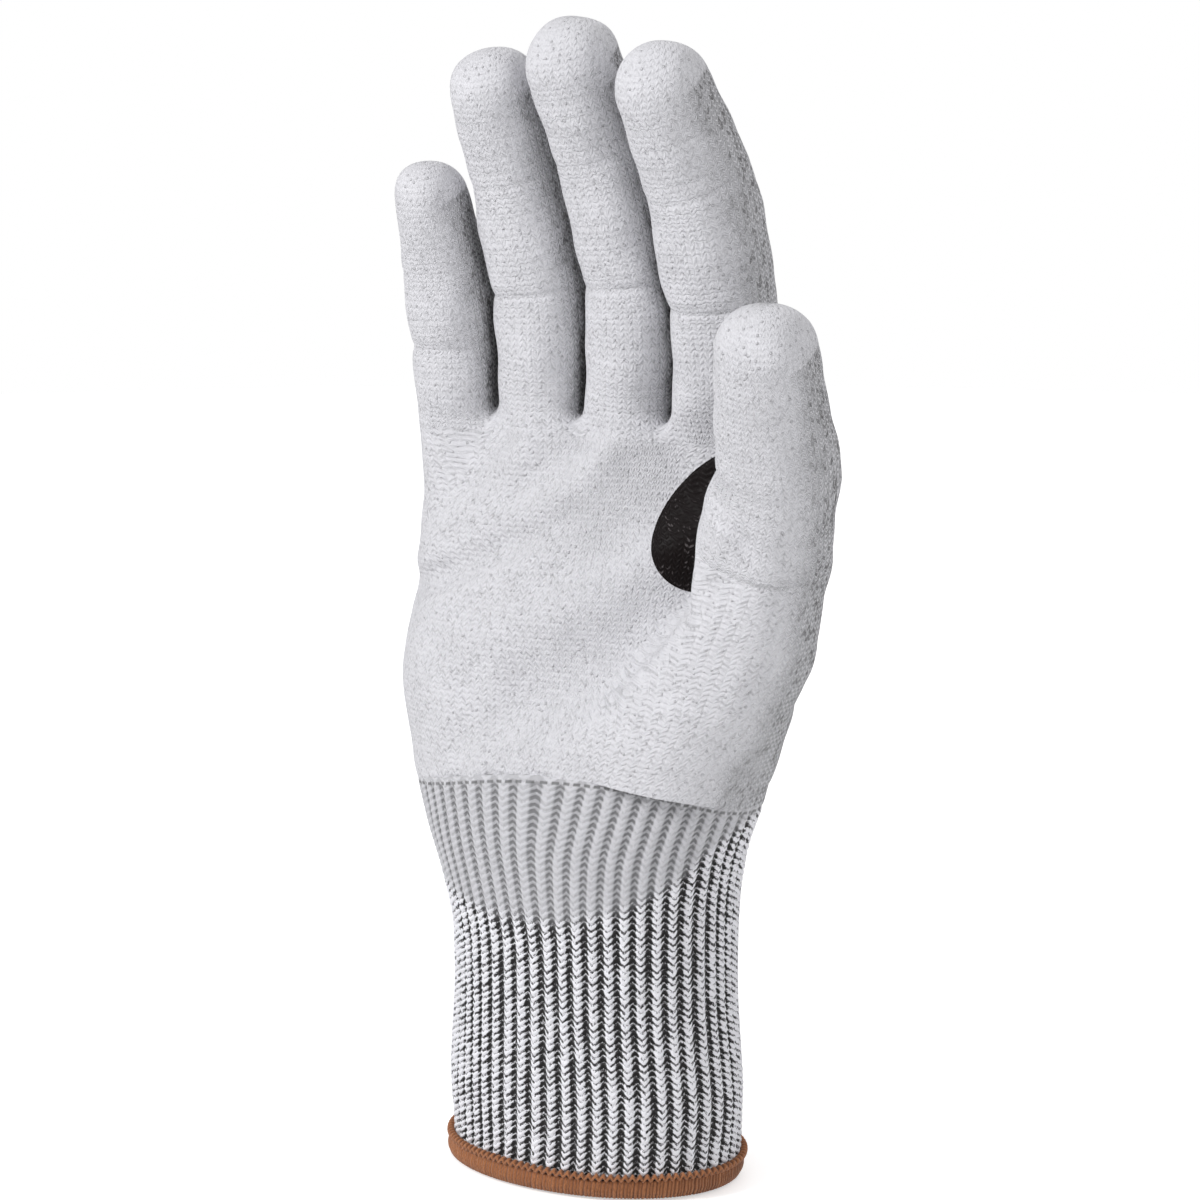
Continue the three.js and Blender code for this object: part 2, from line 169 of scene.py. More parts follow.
class Stall:
    """One tapered tube with a rounded end, as a distance function."""

    def __init__(self, points, radii, wide, deep, creases, pads):
        self.line = smooth_line(points, radii)
        steps = np.linalg.norm(np.diff(self.line[:, :3], axis=0), axis=1)
        self.along = np.concatenate([[0], np.cumsum(steps)])
        self.wide, self.deep = wide, deep
        self.creases, self.pads = creases, pads
        self.knots = np.linspace(0, len(self.line) - 1, len(points)).round().astype(int)

    def nearest(self, p):
        """Distance across, length along, radius and the nearest point of the line."""
        best = np.full(len(p), 1e9)
        along, radius, across = np.zeros(len(p)), np.zeros(len(p)), np.zeros(len(p))
        near = np.zeros((len(p), 3))
        scale = np.array([1 / self.wide, 1 / self.deep, 1.0])
        for i in range(len(self.line) - 1):
            a, b = self.line[i, :3], self.line[i + 1, :3]
            ab = b - a
            t = np.clip((p - a) @ ab / (ab @ ab), 0, 1)
            c = a + t[:, None] * ab
            off = (p - c) * scale
            d = np.linalg.norm(off, axis=1)
            better = d < best
            best = np.where(better, d, best)
            across[better] = (np.abs(off[better]) ** ROUNDNESS).sum(1) ** (1 / ROUNDNESS)
            along = np.where(better, self.along[i] + t * (self.along[i + 1] - self.along[i]), along)
            radius = np.where(better, self.line[i, 3] + t * (self.line[i + 1, 3] - self.line[i, 3]), radius)
            near = np.where(better[:, None], c, near)
        return across, along, radius, near

    def distance(self, p):
        across, along, radius, near = self.nearest(p)
        front = np.clip(-(p[:, 1] - near[:, 1]) / np.maximum(radius, 1), -1, 1)
        for knot, depth, width in self.creases:
            at = self.along[self.knots[knot]]
            radius = radius - depth * np.exp(-((along - at) / width) ** 2) * smoothstep(-0.3, 0.8, front)
        for knot_a, knot_b, height in self.pads:
            at = (self.along[self.knots[knot_a]] + self.along[self.knots[knot_b]]) / 2
            width = (self.along[self.knots[knot_b]] - self.along[self.knots[knot_a]]) / 2.6
            radius = radius + height * np.exp(-((along - at) / width) ** 2) * smoothstep(0, 1, front)
        return across - radius


# creases: point of the line, depth, width. pads: the two points they lie between, height
FINGER_CREASES, THUMB_CREASES = [(3, 0.5, 1.1), (3, 0.25, 4.0), (5, 0.2, 1.3)], [(6, 0.35, 2.2)]
FINGER_PADS, THUMB_PADS = [(1, 3, 0.12), (3, 5, 0.12), (5, 6, 0.15)], [(6, 8, 0.4)]
STALLS = {}
for name in FINGERS:
    STALLS[name] = Stall(*finger_line(name), FINGER_WIDE, FINGER_DEEP, FINGER_CREASES, FINGER_PADS)
STALLS["thumb"] = Stall(*thumb_line(), 1, 1, THUMB_CREASES, THUMB_PADS)

# ---------- sections of the hand and cuff, in mm
# height, half width, half depth, centre x, centre y, squareness
SECTIONS = np.array([
    [0, 33.1, 23.6, -1.0, 0, 2.05],
    [6, 33.0, 23.6, 0, 0, 2.05],
    [20, 33.8, 24.0, 0.2, 0, 2.05],
    [40, 32.2, 24.3, 0, 0, 2.05],
    [54, 32.4, 24.2, -0.3, 0, 2.05],
    [64, 34.0, 24.4, -1.5, 0, 2.1],
    [74, 36.8, 24.2, -2.4, -0.2, 2.15],
    [86, 41.0, 22.6, -1.8, -0.6, 2.25],
    [105, 46.3, 19.6, -0.7, -0.6, 2.35],
    [130, 43.8, 16.6, 0.2, 0.6, 2.5],
    [150, 40.2, 14.0, 2.2, 1.0, 2.6],
    [168, 39.0, 12.2, 2.8, 1.0, 2.6],
    [180, 39.0, 12.2, 2.8, 1.0, 2.6],
])


# sections are rounded over this many mm above and below
ROUND_OVER = 6


def section(z):
    """Half width, half depth, centre x and y and squareness at each height."""
    heights = np.arange(SECTIONS[-1, 0] + 1)
    bell = np.hanning(2 * ROUND_OVER + 1)
    made = []
    for k in range(1, 6):
        row = np.interp(heights, SECTIONS[:, 0], SECTIONS[:, k])
        padded = np.concatenate([np.full(ROUND_OVER, row[0]), row, np.full(ROUND_OVER, row[-1])])
        row = np.convolve(padded, bell / bell.sum(), "valid")
        made.append(np.interp(z, heights, row))
    return made


# where the palm's own field ends, how softly, and the height of the webs between the finger stalls
PALM_TOP, PALM_TOP_SOFT, WEB = 163.6, 7.0, 165.8


def palm_distance(p):
    a, b, cx, cy, n = section(p[:, 2])
    u, v = np.abs((p[:, 0] - cx) / a) + 1e-6, np.abs((p[:, 1] - cy) / b) + 1e-6
    k = (u ** n + v ** n) ** (1 / n)
    slope = np.sqrt((k ** (1 - n) * u ** (n - 1) / a) ** 2 + (k ** (1 - n) * v ** (n - 1) / b) ** 2)
    side = (k - 1) / slope
    return smooth_max(side, p[:, 2] - PALM_TOP, PALM_TOP_SOFT)


def smooth_min(a, b, k):
    h = np.maximum(k - np.abs(a - b), 0) / k
    return np.minimum(a, b) - h * h * k / 4


def smooth_max(a, b, k):
    return -smooth_min(-a, -b, k)


# soft folds of the fabric: the points a fold runs through, its depth at each of them, and its width, in mm
FOLDS = [
    # pulled from the thumb crotch across the palm, and the long valley beside the ball of the thumb
    ([(38, -14, 163), (26, -13, 153), (12, -14, 143), (-3, -15, 134)], [8.0, 9.0, 6.0, 1.2], 7.0),
    ([(30, -16, 132), (12, -18, 117), (-5, -19, 107), (-18, -19, 98)], [4.5, 6.4, 5.8, 1.2], 8.5),
    # the crease across the palm
    ([(-42, -7, 126), (-27, -13, 131), (-12, -14, 138), (3, -13, 145), (14, -12, 151)],
     [2.2, 2.2, 1.9, 1.4, 0.3], 3.2),
    # valleys that run down from between the fingers
    ([(-18, -10, 160), (-28, -12, 151), (-38, -10, 144)], [2.4, 2.0, 0.5], 4.0),
    ([(3, -10, 161), (-7, -12, 153), (-15, -13, 147)], [2.4, 2.2, 0.3], 4.2),
    ([(24, -11, 160), (14, -12, 155), (5, -13, 150)], [2.2, 1.9, 0.3], 4.0),
    # creases on the ball of the thumb
    ([(45, -31, 154), (51, -30, 146), (54, -28, 140)], [1.2, 1.6, 0.3], 2.8),
    ([(34, -24, 128), (44, -29, 136), (50, -29, 143)], [0.3, 0.9, 0.2], 3.0),
    # wrinkles where the wrist begins
    ([(-22, -19, 86), (-24, -18, 101)], [1.0, 0], 2.8),
    ([(-13, -21, 86), (-16, -19, 103)], [1.2, 0], 2.8),
    ([(-2, -22, 86), (-3, -20, 99)], [0.9, 0], 3.0),
    ([(21, -24, 103), (12, -25, 88)], [0.8, 1.0], 5.0),
    # the back of the hand
    ([(40, 15, 118), (12, 21, 96)], [0.8, 0.8], 4.5),
    ([(-40, 13, 124), (-10, 19, 98)], [0.7, 0.7], 4.5),
]
# small undulations: radians per mm along each axis, where the wave starts, and its height in mm
WAVES = [((0.31, 0.19, 0.23), 0.4, 0.14), ((-0.22, 0.3, 0.41), 1.7, 0.12),
         ((0.13, -0.4, 0.52), 3.1, 0.09), ((0.55, 0.2, -0.15), 0.9, 0.07)]


def fold_depth(p):
    made = np.zeros(len(p))
    for line, depths, width in FOLDS:
        line = np.array(line, float)
        best, depth = np.full(len(p), 1e9), np.zeros(len(p))
        for k in range(len(line) - 1):
            ab = line[k + 1] - line[k]
            t = np.clip((p - line[k]) @ ab / (ab @ ab), 0, 1)
            off = np.linalg.norm(p - line[k] - t[:, None] * ab, axis=1)
            depth = np.where(off < best, depths[k] + t * (depths[k + 1] - depths[k]), depth)
            best = np.minimum(off, best)
        made = made + depth * np.exp(-(best / width) ** 2)
    for way, start, height in WAVES:
        made = made + height * np.sin(p @ np.array(way) + start)
    return made


def near_box(p, stall, room):
    low = (stall.line[:, :3] - stall.line[:, 3:4]).min(0) - room
    high = (stall.line[:, :3] + stall.line[:, 3:4]).max(0) + room
    return np.all((p > low) & (p < high), axis=1)


# how softly each stall meets the palm, and the distance given for points far from a stall
FILLET = {"little": 5.0, "ring": 4.0, "middle": 4.0, "index": 4.5, "thumb": 5.0}
FAR_OFF = 30.0


def parts_distance(p):
    """Distance to the palm and to each stall, by name. Far from a stall it is only a large number."""
    made = {"palm": palm_distance(p)}
    for name, stall in STALLS.items():
        d = np.full(len(p), FAR_OFF)
        near = near_box(p, stall, FILLET[name] + 2)
        d[near] = stall.distance(p[near])
        made[name] = d
    return made


def glove_distance(p):
    parts = parts_distance(p)
    base = smooth_min(parts["palm"], parts["thumb"], FILLET["thumb"])
    whole = np.min([smooth_min(base, parts[name], FILLET[name]) for name in FINGERS], axis=0)
    return whole + fold_depth(p)


def gradient(p, step=0.35):
    made = np.zeros_like(p)
    for k in range(3):
        e = np.zeros(3)
        e[k] = step
        made[:, k] = glove_distance(p + e) - glove_distance(p - e)
    return made / np.linalg.norm(made, axis=1)[:, None]


# ---------- mesh of the hand

CORNERS = np.array([[i, j, k] for i in (0, 1) for j in (0, 1) for k in (0, 1)])


def surface_nets(values):
    """One vertex per cell that the surface crosses, and one quad per crossed grid edge."""
    inside = values < 0
    shape = np.array(values.shape) - 1
    count = np.zeros(shape, np.int8)
    for i, j, k in CORNERS:
        count += inside[i:i + shape[0], j:j + shape[1], k:k + shape[2]]
    active = (count > 0) & (count < 8)
    cells = np.argwhere(active)
    index = np.full(shape, -1, np.int64)
    index[active] = np.arange(len(cells))
    total, hits = np.zeros((len(cells), 3)), np.zeros(len(cells))
    for a in CORNERS:
        for k in range(3):
            if a[k]:
                continue
            b = a.copy()
            b[k] = 1
            va, vb = values[tuple((cells + a).T)], values[tuple((cells + b).T)]
            crossed = (va < 0) != (vb < 0)
            t = np.where(crossed, va / np.where(crossed, va - vb, 1), 0)
            total += crossed[:, None] * (a + t[:, None] * (b - a))
            hits += crossed
    points = cells + total / hits[:, None]
    quads = []
    for k in range(3):
        u, v = (k + 1) % 3, (k + 2) % 3
        lower = np.moveaxis(inside, k, 0)
        crossed = np.moveaxis(lower[:-1] != lower[1:], 0, k)
        at = np.argwhere(crossed)
        at = at[(at[:, u] > 0) & (at[:, v] > 0) & (at[:, u] < shape[u]) & (at[:, v] < shape[v])]
        around = []
        for du, dv in ((0, 0), (-1, 0), (-1, -1), (0, -1)):
            c = at.copy()
            c[:, u] += du
            c[:, v] += dv
            around.append(index[tuple(c.T)])
        quad = np.stack(around, 1)
        outward = inside[tuple(at.T)]
        quad[~outward] = quad[~outward][:, ::-1]
        quads.append(quad)
    quads = np.vstack(quads)
    return points, quads[(quads >= 0).all(1)]


HAND_LOW, HAND_HIGH = np.array([-52.0, -54.0, 76.0]), np.array([74.0, 26.0, 254.0])
# grid points worked out at a time
SLAB = 400000


def hand_surface(step):
    """The hand's outer surface from a grid of that step, drawn on to the exact surface."""
    low, high = HAND_LOW, HAND_HIGH
    sizes = np.ceil((high - low) / step).astype(int) + 1
    grids = np.meshgrid(*[low[k] + step * np.arange(sizes[k]) for k in range(3)], indexing="ij")
    p = np.stack([g.ravel() for g in grids], 1)
    values = np.empty(len(p))
    for i in range(0, len(p), SLAB):
        values[i:i + SLAB] = glove_distance(p[i:i + SLAB])
    points, quads = surface_nets(values.reshape(sizes))
    points = low + points * step
    for _ in range(3):
        points = points - gradient(points) * glove_distance(points)[:, None]
    return points, quads


def rib_top(angle):
    """Height of the line where the rib gives way to plain knit, by angle from the palm's middle."""
    off = np.degrees(angle) - 12
    return 83.5 + 7.2 * np.exp(-((off / 50) ** 2))


def palm_angle(p):
    """Angle round the hand, 0 at the middle of the palm side and a quarter turn at the thumb side."""
    a, b, cx, cy, _ = section(p[:, 2])
    return np.arctan2((p[:, 0] - cx) / a, -(p[:, 1] - cy) / b)


# ---------- Blender meshes

def make_object(name, points, faces, normals=None, uv=None, values=None):
    """A mesh in metres from points in mm. normals and uv are per face corner, values per point."""
    mesh = bpy.data.meshes.new(name)
    faces = np.asarray(faces)
    mesh.vertices.add(len(points))
    mesh.vertices.foreach_set("co", (np.asarray(points) * MM).astype(np.float32).ravel())
    mesh.loops.add(faces.size)
    mesh.loops.foreach_set("vertex_index", faces.astype(np.int32).ravel())
    mesh.polygons.add(len(faces))
    mesh.polygons.foreach_set("loop_start", np.arange(0, faces.size, faces.shape[1], dtype=np.int32))
    mesh.update(calc_edges=True)
    mesh.polygons.foreach_set("use_smooth", np.ones(len(faces), bool))
    if uv is not None:
        layer = mesh.uv_layers.new(name="Knit")
        layer.data.foreach_set("uv", np.asarray(uv, np.float32).ravel())
    for key, value in (values or {}).items():
        attribute = mesh.attributes.new(key, "FLOAT", "POINT")
        attribute.data.foreach_set("value", np.asarray(value, np.float32))
    if normals is not None:
        mesh.normals_split_custom_set(np.asarray(normals).reshape(-1, 3).tolist())
    made = bpy.data.objects.new(name, mesh)
    bpy.context.scene.collection.objects.link(made)
    return made


def used_only(points, faces, *rows):
    """The points that faces use, with the faces renumbered."""
    used = np.unique(faces)
    number = np.full(len(points), -1)
    number[used] = np.arange(len(used))
    return [points[used], number[faces]] + [r[used] for r in rows]


def open_edges(faces):
    a = faces.ravel()
    b = np.roll(faces, -1, axis=1).ravel()
    size = faces.max() + 1
    lone = ~np.isin(a * size + b, b * size + a)
    return np.stack([a[lone], b[lone]], 1)


def shell(points, faces, normals, uv, thick):
    """The surface as a wall of that thickness: outside, inside and the rims that join them."""
    count = len(points)
    both = np.vstack([points, points - normals * thick])
    inner = faces[:, ::-1] + count
    edges = open_edges(faces)
    rim = np.stack([edges[:, 1], edges[:, 0], edges[:, 0] + count, edges[:, 1] + count], 1)
    c = both[rim]
    flat = np.cross(c[:, 2] - c[:, 0], c[:, 3] - c[:, 1])
    flat /= np.linalg.norm(flat, axis=1)[:, None] + 1e-12
    corner = np.vstack([normals[faces], -normals[faces[:, ::-1]], np.repeat(flat[:, None], 4, 1)])
    rim_uv = np.zeros((len(rim), 4, 2))
    return both, np.vstack([faces, inner, rim]), corner, np.vstack([uv, uv[:, ::-1], rim_uv])


# ---------- knit coordinates

# height of a course in mm, and stitches round a finger, the thumb and the palm
COURSE = 1.2
STALL_WALES, THUMB_WALES, PALM_WALES = 37, 46, 126
# height where the finger stalls' knitting starts
KNIT_SPLIT = 161
# the thumb's palm side faces -X as well as -Y
THUMB_TURN = np.array([[0.8, -0.6, 0], [0.6, 0.8, 0], [0, 0, 1]])


def even_angle(a, b):
    """Share of the way round an ellipse, by length, as a table against angle from -Y."""
    angle = np.linspace(-math.pi, math.pi, 721)
    x, y = a * np.sin(angle), -b * np.cos(angle)
    length = np.concatenate([[0], np.cumsum(np.hypot(np.diff(x), np.diff(y)))])
    return angle, length / length[-1]


PALM_ROUND = even_angle(45, 19)
CUFF_ROUND = even_angle(32.5, 24.4)

THUMB_BASE, THUMB_KNUCKLE = hinge("thumb_base_extend"), hinge("thumb_tip_extend")
THUMB_WAY = unit(THUMB_KNUCKLE - THUMB_BASE)


def past_thumb_hinge(p):
    """Whether each point is on the thumb stall and beyond its first hinge."""
    parts = parts_distance(p)
    side = parts["thumb"] < np.minimum(parts["palm"], parts["index"])
    return side & ((p - THUMB_BASE) @ THUMB_WAY > 0.5)


# added to a distance, so that another part is nearer
RULED_OUT = 50


def knit_uv(points, faces):
    """Wale and course numbers of each face corner, in the field of the palm or stall it belongs to."""
    centre = points[faces].mean(1)
    parts = parts_distance(centre)
    names = ["palm", "thumb"] + FINGERS
    ranked = np.stack([parts[n] for n in names], 1)
    # the palm's field ends at the webs of the fingers, and at the thumb's first hinge
    high = centre[:, 2] > KNIT_SPLIT
    ranked[~high, 2:] += RULED_OUT
    ranked[high, 0] += RULED_OUT
    ranked[~past_thumb_hinge(centre), 1] += RULED_OUT
    region = ranked.argmin(1)
    uv = np.zeros(faces.shape + (2,))
    for k, name in enumerate(names):
        mine = region == k
        p = points[faces[mine]].reshape(-1, 3)
        if name == "palm":
            u = np.interp(palm_angle(p), *PALM_ROUND)
            v = p[:, 2] / COURSE
            wales = PALM_WALES
        else:
            _, along, _, near = STALLS[name].nearest(p)
            off = p - near
            if name == "thumb":
                off = off @ THUMB_TURN.T
            u = np.arctan2(off[:, 0], -off[:, 1]) / (2 * math.pi) + 0.5
            line = STALLS[name].line
            tip, r = line[-1, :3], line[-1, 3]
            # courses go on over the round end
            ahead = (p - tip) @ unit(tip - line[-2, :3]) / np.linalg.norm(p - tip, axis=1)
            v = (along + r * np.arcsin(np.clip(ahead, 0, 1))) / COURSE
            wales = THUMB_WALES if name == "thumb" else STALL_WALES
        u = u.reshape(-1, 4)
        split = (u.max(1) - u.min(1)) > 0.5
        u = np.where(split[:, None] & (u < 0.5), u + 1, u)
        uv[mine, :, 0] = u * wales
        uv[mine, :, 1] = v.reshape(-1, 4)
    return uv


# the coating thins out between these two angles from the palm's middle, in degrees
COAT_FADES = (44, 116)


def coat_share(points, normals):
    """1 where the coating covers the knit, 0 where the knit is bare."""
    azimuth = np.degrees(np.abs(np.arctan2(normals[:, 0] + 0.12, -normals[:, 1])))
    share = 1 - smoothstep(*COAT_FADES, azimuth)
    for stall in STALLS.values():
        tip, r = stall.line[-1, :3], stall.line[-1, 3]
        ahead = (points - tip) @ unit(tip - stall.line[-4, :3])
        near = np.linalg.norm(points - tip, axis=1) < r * 1.6
        share = np.maximum(share, np.where(near, smoothstep(-0.25 * r, 0.55 * r, ahead), 0))
        # at the very tip the coating is thick and hides the knit: a value above 1
        thick = 1 + smoothstep(0.1 * r, 0.75 * r, ahead)
        share = np.maximum(share, np.where(near & (ahead > 0.1 * r), thick, 0))
    return share


def painted_shade_between_fingers(p):
    """Mask of the painted shade between the finger stalls: 1 deep between two stalls, 0 in the open."""
    parts = parts_distance(p)
    second = np.sort(np.stack([parts[n] for n in FINGERS], 1), axis=1)[:, 1]
    return smoothstep(3.6, 0.8, second) * smoothstep(WEB - 3, WEB + 3, p[:, 2])


# the lower edge of the coating on the rib: angle from the palm's middle, and height
TAIL = np.array([[-180, 92], [-125, 84], [-90, 69], [-60, 63.4], [-22, 59.8], [8, 60.2], [34, 64], [54, 69.7],
                 [71, 76.9], [95, 83.0], [120, 90], [180, 92]])


def tail_low(angle):
    return np.interp(np.degrees(angle), TAIL[:, 0], TAIL[:, 1])


HAND_STEP = 0.8
points, quads = hand_surface(HAND_STEP)
normals = gradient(points)
# the hand ends at the rib's upper line, and its lowest points are drawn on to that line
arc = rib_top(palm_angle(points))
centre_z = points[quads, 2].mean(1)
quads = quads[centre_z > arc[quads].mean(1)]
points, quads, normals, arc = used_only(points, quads, normals, arc)
border = np.unique(open_edges(quads))
points[border, 2] = arc[border]
for _ in range(2):
    fix = gradient(points[border])
    fix[:, 2] = 0
    points[border] -= fix * glove_distance(points[border])[:, None]
normals[border] = gradient(points[border])

hand_uv = knit_uv(points, quads)
hand_shade_between_fingers = painted_shade_between_fingers(points)
hand_coat = coat_share(points, normals)

# ---------- the hand in pieces

WALL = 0.9
centres = points[quads].mean(1)
parts = parts_distance(centres)
owner = np.array(FINGERS)[np.stack([parts[n] for n in FINGERS], 1).argmin(1)]
thumb_up = (centres - THUMB_BASE) @ THUMB_WAY
on_thumb = past_thumb_hinge(centres)
taken = np.zeros(len(quads), bool)
HAND_PIECES = []


def cut_piece(name, chosen):
    """Takes the chosen faces as one piece, a wall with its own thickness."""
    global taken
    chosen = chosen & ~taken
    taken |= chosen
    p, f, n, c, b = used_only(points, quads[chosen], normals, hand_coat, hand_shade_between_fingers)
    both, faces, corner, uv = shell(p, f, n, hand_uv[chosen], WALL)
    # between carries the mask of the painted shade between the fingers
    values = {"coat": np.concatenate([c, c * 0]), "between": np.concatenate([b, b * 0])}
    made = make_object(name, both, faces, corner, uv, values)
    HAND_PIECES.append(made)
    return made


def bend_over(piece, joint, low, high):
    """Bakes the piece's transform into its mesh; the piece is not bent, and joint, low and high are not used.
    """
    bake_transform(piece)


def bend_about(piece, joint, way, half):
    """Calls bend_over with points as far before the joint's hinge as past it; the piece is not bent."""
    bend_over(piece, joint, hinge(joint) - way * half, hinge(joint) + way * half)


# the length of a finger root's bend zone, from the web on, and half of each bend zone at its other two
# hinges; bend_over takes them but bends nothing
ROOT_ZONE = {"little": 5.0, "ring": 11.0, "middle": 11.0, "index": 11.0}
KNUCKLE_HALF, TIP_HALF = 7.5, 6.0
# the little finger's root is cut this much above the middle of its first phalanx
LITTLE_CUT = 1.5
# the same for the thumb: its root's zone, half of its knuckle's, and where its root is cut, as a share
THUMB_ZONE, THUMB_HALF, THUMB_CUT = (0.5, 9.5), 8, 0.54

for name in FINGERS:
    h = [hinge(f"{name}_{s}_bend") for s in ("base", "middle", "tip")]
    way = [unit(h[1] - h[0]), unit(h[2] - h[1])]
    start = h[0] + way[0] * (WEB - h[0][2]) / way[0][2]
    mine = (owner == name) & ((centres - start) @ way[0] > 0) & ~on_thumb
    cut = LITTLE_CUT if name == "little" else 0
    half_base = h[0] + way[0] * (0.5 * np.linalg.norm(h[1] - h[0]) + cut)
    half_middle = (h[1] + h[2]) / 2
    past_base = (centres - half_base) @ way[0] > 0
    past_middle = (centres - half_middle) @ way[1] > 0
    root = cut_piece(f"{name}_root", mine & ~past_base)
    bend_over(root, f"{name}_base_bend", start, start + way[0] * ROOT_ZONE[name])
    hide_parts(f"{name}_base_liner", f"{name}_base_coat")
    knuckle = cut_piece(f"{name}_knuckle", mine & past_base & ~past_middle)
    bend_about(knuckle, f"{name}_middle_bend", way[0], KNUCKLE_HALF)
    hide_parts(f"{name}_middle_liner", f"{name}_middle_coat")
    tip = cut_piece(f"{name}_end", mine & past_middle)
    bend_about(tip, f"{name}_tip_bend", way[1], TIP_HALF)
    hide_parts(f"{name}_tip_liner", f"{name}_tip_coat")

THUMB_REACH = np.linalg.norm(THUMB_KNUCKLE - THUMB_BASE)
root = cut_piece("thumb_root", on_thumb & (thumb_up < THUMB_REACH * THUMB_CUT))
bend_over(root, "thumb_base_extend", *[THUMB_BASE + THUMB_WAY * reach for reach in THUMB_ZONE])
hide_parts("thumb_base_liner", "thumb_base_coat")
end = cut_piece("thumb_end", on_thumb)
bend_about(end, "thumb_tip_extend", THUMB_WAY, THUMB_HALF)
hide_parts("thumb_tip_liner", "thumb_tip_coat")

palm = cut_piece("palm_fabric", ~taken)
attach(palm, "palm")
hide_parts("palm_liner", "palm_coat")

# ---------- rib cuff

# raised columns round the cuff, mesh columns to each, height of a course, depth of the ribs, wall, mesh step
RIBS, PER_RIB = 52, 8
RIB_COURSE, RIB_DEPTH, CUFF_WALL = 1.45, 0.95, 0.95
RIB_STEP = 0.3


def around(share, z, out):
    """Points on the cuff: share of the way round, height, and distance outside the base surface."""
    angle = np.interp(share, CUFF_ROUND[1], CUFF_ROUND[0])
    a, b, cx, cy, n = section(z)
    s, c = np.sin(angle), np.cos(angle)
    x = cx + a * np.sign(s) * np.abs(s) ** (2 / n)
    y = cy - b * np.sign(c) * np.abs(c) ** (2 / n)
    nx, ny = s / a, -c / b
    size = np.hypot(nx, ny)
    return np.stack([x + out * nx / size, y + out * ny / size, z], -1)


def rib_wave(share, z):
    """How raised each point of the rib is, from 0 to 1, and how far its stitch stands out."""
    phase = share * RIBS
    wale = phase - np.floor(phase) - 0.5
    raised = smoothstep(0.36, 0.16, np.abs(wale))
    course = z / RIB_COURSE + 0.07 * np.sin(phase * 2.1)
    leg = np.cos(2 * math.pi * (course - np.abs(wale) * 1.9))
    stitch = (0.11 + 0.06 * raised) * leg
    return raised, stitch


def hanging_folds(share, z):
    """Soft folds down the cuff, none at its two ends."""
    slow = 0.35 * np.sin(2 * math.pi * 3 * share + 1 + z * 0.02)
    quick = 0.22 * np.sin(2 * math.pi * 7 * share + z * 0.05)
    return (slow + quick) * smoothstep(4, 16, z) * smoothstep(84, 70, z)


def rib_tube(name, low, high):
    """One stretch of ribbed tube with its own wall. low and high are heights, or functions of the angle."""
    columns = RIBS * PER_RIB
    share = np.arange(columns) / columns
    flat_angle = np.interp(share, CUFF_ROUND[1], CUFF_ROUND[0])
    lower, upper = [h(flat_angle) if callable(h) else np.full(columns, float(h)) for h in (low, high)]
    rows = int(np.ceil((upper - lower).max() / RIB_STEP)) + 1
    t = np.linspace(0, 1, rows)[:, None]
    z = lower + (upper - lower) * t
    s = np.broadcast_to(share, z.shape)
    raised, stitch = rib_wave(s, z)
    arc_at = rib_top(flat_angle)
    fade = smoothstep(arc_at + 0.2, arc_at - 2.2, z)
    coat = smoothstep(-4.5, 4.0, z - tail_low(flat_angle))
    ribs = RIB_DEPTH * (1 - 0.42 * coat) * fade * (raised - 0.75)
    folds = hanging_folds(s, z)
    outer = around(s, z, ribs + stitch * (1 - 0.55 * coat) * fade + folds)
    # the inside follows the ribs without their stitches, on every fourth row
    inner_rows = np.unique(np.concatenate([np.arange(0, rows, 4), [rows - 1]]))
    inner = around(s[inner_rows], z[inner_rows], (ribs + folds - CUFF_WALL)[inner_rows])
    tall = len(inner_rows)
    grid = np.arange(rows * columns).reshape(rows, columns)
    back = rows * columns + np.arange(tall * columns).reshape(tall, columns)
    faces, uv = [], []
    u = np.arange(columns + 1) / PER_RIB

    def strip(a, b, va, vb):
        """Quads between two rings of points, a below b as seen from outside."""
        faces.append(np.stack([a, np.roll(a, -1), np.roll(b, -1), b], 1))
        uv.append(np.stack([np.stack([u[:-1], va], 1), np.stack([u[1:], np.roll(va, -1)], 1),
                            np.stack([u[1:], np.roll(vb, -1)], 1), np.stack([u[:-1], vb], 1)], 1))

    v = z / RIB_COURSE
    for i in range(rows - 1):
        strip(grid[i], grid[i + 1], v[i], v[i + 1])
    for i in range(tall - 1):
        strip(back[i + 1], back[i], v[inner_rows[i + 1]], v[inner_rows[i]])
    strip(back[0], grid[0], v[0], v[0])
    strip(grid[-1], back[-1], v[-1], v[-1])
    points = np.vstack([outer.reshape(-1, 3), inner.reshape(-1, 3)])
    values = {
        "raised": np.concatenate([raised.ravel(), 1 - raised[inner_rows].ravel()]),
        "coat": np.concatenate([coat.ravel(), coat[inner_rows].ravel() * 0]),
        "fade": np.concatenate([fade.ravel(), fade[inner_rows].ravel()]),
        "below": np.concatenate([(arc_at - z).ravel(), np.full(tall * columns, 99.0)]),
    }
    made = make_object(name, points, np.vstack(faces), None, np.vstack(uv), values)
    return made


# where the rib starts inside the hem, where its two pieces meet, and how far it reaches into the hand
CUFF_LOW, CUFF_SPLIT, CUFF_TUCK = 1.2, 43.0, 0.5
# the two folds of the wrist: the bodies below and above, and the heights between which the rib would bend;
# the rib is not bent
LOWER_FOLD = ("cuff", "wrist_band", 0.018, 0.042)
UPPER_FOLD = ("wrist_band", "palm", 0.044, 0.068)


def bend_at_wrist(piece):
    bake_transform(piece)


lower_rib = rib_tube("cuff_rib_lower", CUFF_LOW, CUFF_SPLIT)
bend_at_wrist(lower_rib)
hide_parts("rib_cuff")
upper_rib = rib_tube("cuff_rib_upper", CUFF_SPLIT, lambda angle: rib_top(angle) + CUFF_TUCK)
bend_at_wrist(upper_rib)
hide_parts("rib_wrist", "rib_upper", "coat_tail")

# ---------- overlocked hem

THREADS, PER_THREAD = 236, 5
HEM_TOP = 4.7
